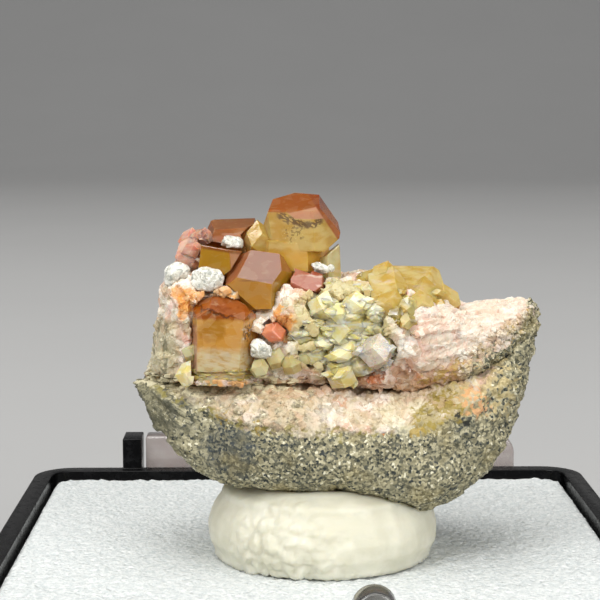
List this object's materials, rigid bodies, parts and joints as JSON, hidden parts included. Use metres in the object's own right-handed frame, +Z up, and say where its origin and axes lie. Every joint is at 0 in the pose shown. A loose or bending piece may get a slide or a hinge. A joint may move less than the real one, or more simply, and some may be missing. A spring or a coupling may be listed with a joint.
{
  "type": "tourmaline specimen in a display box",
  "caption": "Cluster of stubby amber, pink and yellow-green crystals on pale vein and grey rock, held by putty on the foam of a small square display box.",
  "frame": {"origin": "bottom of the box, under the middle of its outline with hinge bar and latch", "axes": "+X to the right of the specimen's display side, +Y from the latch to the hinge, +Z up"},
  "size_m": [0.038, 0.042, 0.0296],
  "materials": {
    "box_plastic": "glossy black moulded polystyrene",
    "clear_plastic": "clear moulded polystyrene",
    "foam": "white open foam, grainy and matt",
    "putty": "cream mineral putty, smooth and softly matt",
    "rock": "grainy grey-green and cream rock, broken surface",
    "vein": "pale pink and cream sugary mineral with rusty and ochre stains",
    "amber_crystal": "clear amber crystal, yellow below and brown-orange at its top",
    "pink_crystal": "salmon pink crystal, faces with a soft shine",
    "green_crystal": "pale yellow-green crystal, partly cloudy",
    "pale_crystal": "nearly colourless crystal, partly cloudy",
    "white_mineral": "sugary white mineral grains"
  },
  "bodies": {
    "root": {"box_tray": "box_plastic", "hinge_bar": "clear_plastic", "front_latch": "clear_plastic", "foam_pad": "foam", "putty": "putty", "matrix_rock": "rock", "pale_vein": "vein", "top_crystal": "amber_crystal", "centre_crystal": "amber_crystal", "lower_left_crystal": "amber_crystal", "amber_crystal": "amber_crystal", "back_left_crystal": "amber_crystal", "pink_crystals": "pink_crystal", "pink_plate_crystal": "pink_crystal", "small_pink_crystal": "pink_crystal", "column_crystal": "pale_crystal", "yellow_cluster": "green_crystal", "green_cluster": "green_crystal", "clear_crystal": "pale_crystal", "small_green_crystal": "green_crystal", "white_lump_left": "white_mineral", "white_lump_centre": "white_mineral", "white_lump_top": "white_mineral", "white_lump_low": "white_mineral", "white_lump_neck": "white_mineral"}
  },
  "joints": []
}
